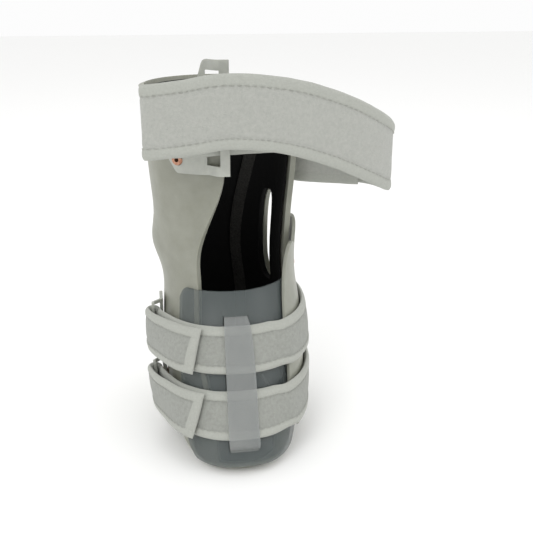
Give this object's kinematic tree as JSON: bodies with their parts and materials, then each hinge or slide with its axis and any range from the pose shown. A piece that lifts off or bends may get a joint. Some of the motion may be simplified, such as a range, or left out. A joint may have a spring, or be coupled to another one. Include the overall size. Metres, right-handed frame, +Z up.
{
  "type": "ankle foot orthosis",
  "caption": "Child-size plastic ankle foot brace with foam lining, translucent instep tongue, side flap and padded hook-and-loop straps at calf, instep and forefoot",
  "frame": {"origin": "on the flat sole, under the middle of the calf", "axes": "+Z up along the leg, -Y towards the toes, +X towards the side flap"},
  "size_m": [0.1358, 0.1233, 0.206],
  "materials": {
    "shell_plastic": "translucent white polypropylene, satin",
    "lining_foam": "black closed-cell foam, matt",
    "pad_foam": "black closed-cell foam, matt",
    "flap_plastic": "white polyethylene sheet, satin",
    "tongue_plastic": "translucent polyethylene sheet",
    "loop_plastic": "moulded nylon, natural",
    "rivet_metal": "copper-plated, worn",
    "washer_metal": "copper-plated",
    "hook_tape": "woven hook tape",
    "calf_strap_fabric": "brushed loop fabric over foam",
    "foot_strap_fabric": "brushed loop fabric over foam"
  },
  "bodies": {
    "root": {"calf_chafe_loop": "loop_plastic", "calf_chafe_rivets": "rivet_metal", "calf_chafe_washers": "washer_metal", "calf_landing_rivets": "rivet_metal", "calf_landing_strap": "calf_strap_fabric", "calf_landing_washers": "washer_metal", "calf_strap_band": "calf_strap_fabric", "foot_pad": "pad_foam", "forefoot_anchor_rivet": "rivet_metal", "forefoot_anchor_washer": "washer_metal", "forefoot_chafe_loop": "loop_plastic", "forefoot_chafe_rivet": "rivet_metal", "forefoot_chafe_washer": "washer_metal", "forefoot_strap_band": "foot_strap_fabric", "instep_anchor_rivet": "rivet_metal", "instep_anchor_washer": "washer_metal", "instep_chafe_loop": "loop_plastic", "instep_chafe_rivet": "rivet_metal", "instep_chafe_washer": "washer_metal", "instep_strap_band": "foot_strap_fabric", "lining_left": "lining_foam", "lining_right": "lining_foam", "shell": "shell_plastic", "side_flap": "flap_plastic", "side_flap_rivet": "rivet_metal", "side_flap_washer": "washer_metal", "tongue": "tongue_plastic"},
    "calf_strap_tip": {"calf_strap_end": "calf_strap_fabric", "calf_hook_patch": "hook_tape"},
    "instep_strap_tip": {"instep_strap_end": "foot_strap_fabric", "instep_hook_patch": "hook_tape"},
    "forefoot_strap_tip": {"forefoot_strap_end": "foot_strap_fabric", "forefoot_hook_patch": "hook_tape"}
  },
  "joints": [
    {"name": "calf_strap_peel", "type": "hinge", "parent": "root", "child": "calf_strap_tip", "pos_m": [0.08763, -0.00979, 0.1503], "axis": [0, 0, -1], "range_deg": [0, 90]},
    {"name": "instep_strap_peel", "type": "hinge", "parent": "root", "child": "instep_strap_tip", "pos_m": [-0.04429, -0.02435, 0.059], "axis": [0, 0, -1], "range_deg": [0, 90]},
    {"name": "forefoot_strap_peel", "type": "hinge", "parent": "root", "child": "forefoot_strap_tip", "pos_m": [-0.04349, -0.03459, 0.029], "axis": [0, 0, -1], "range_deg": [0, 90]}
  ]
}
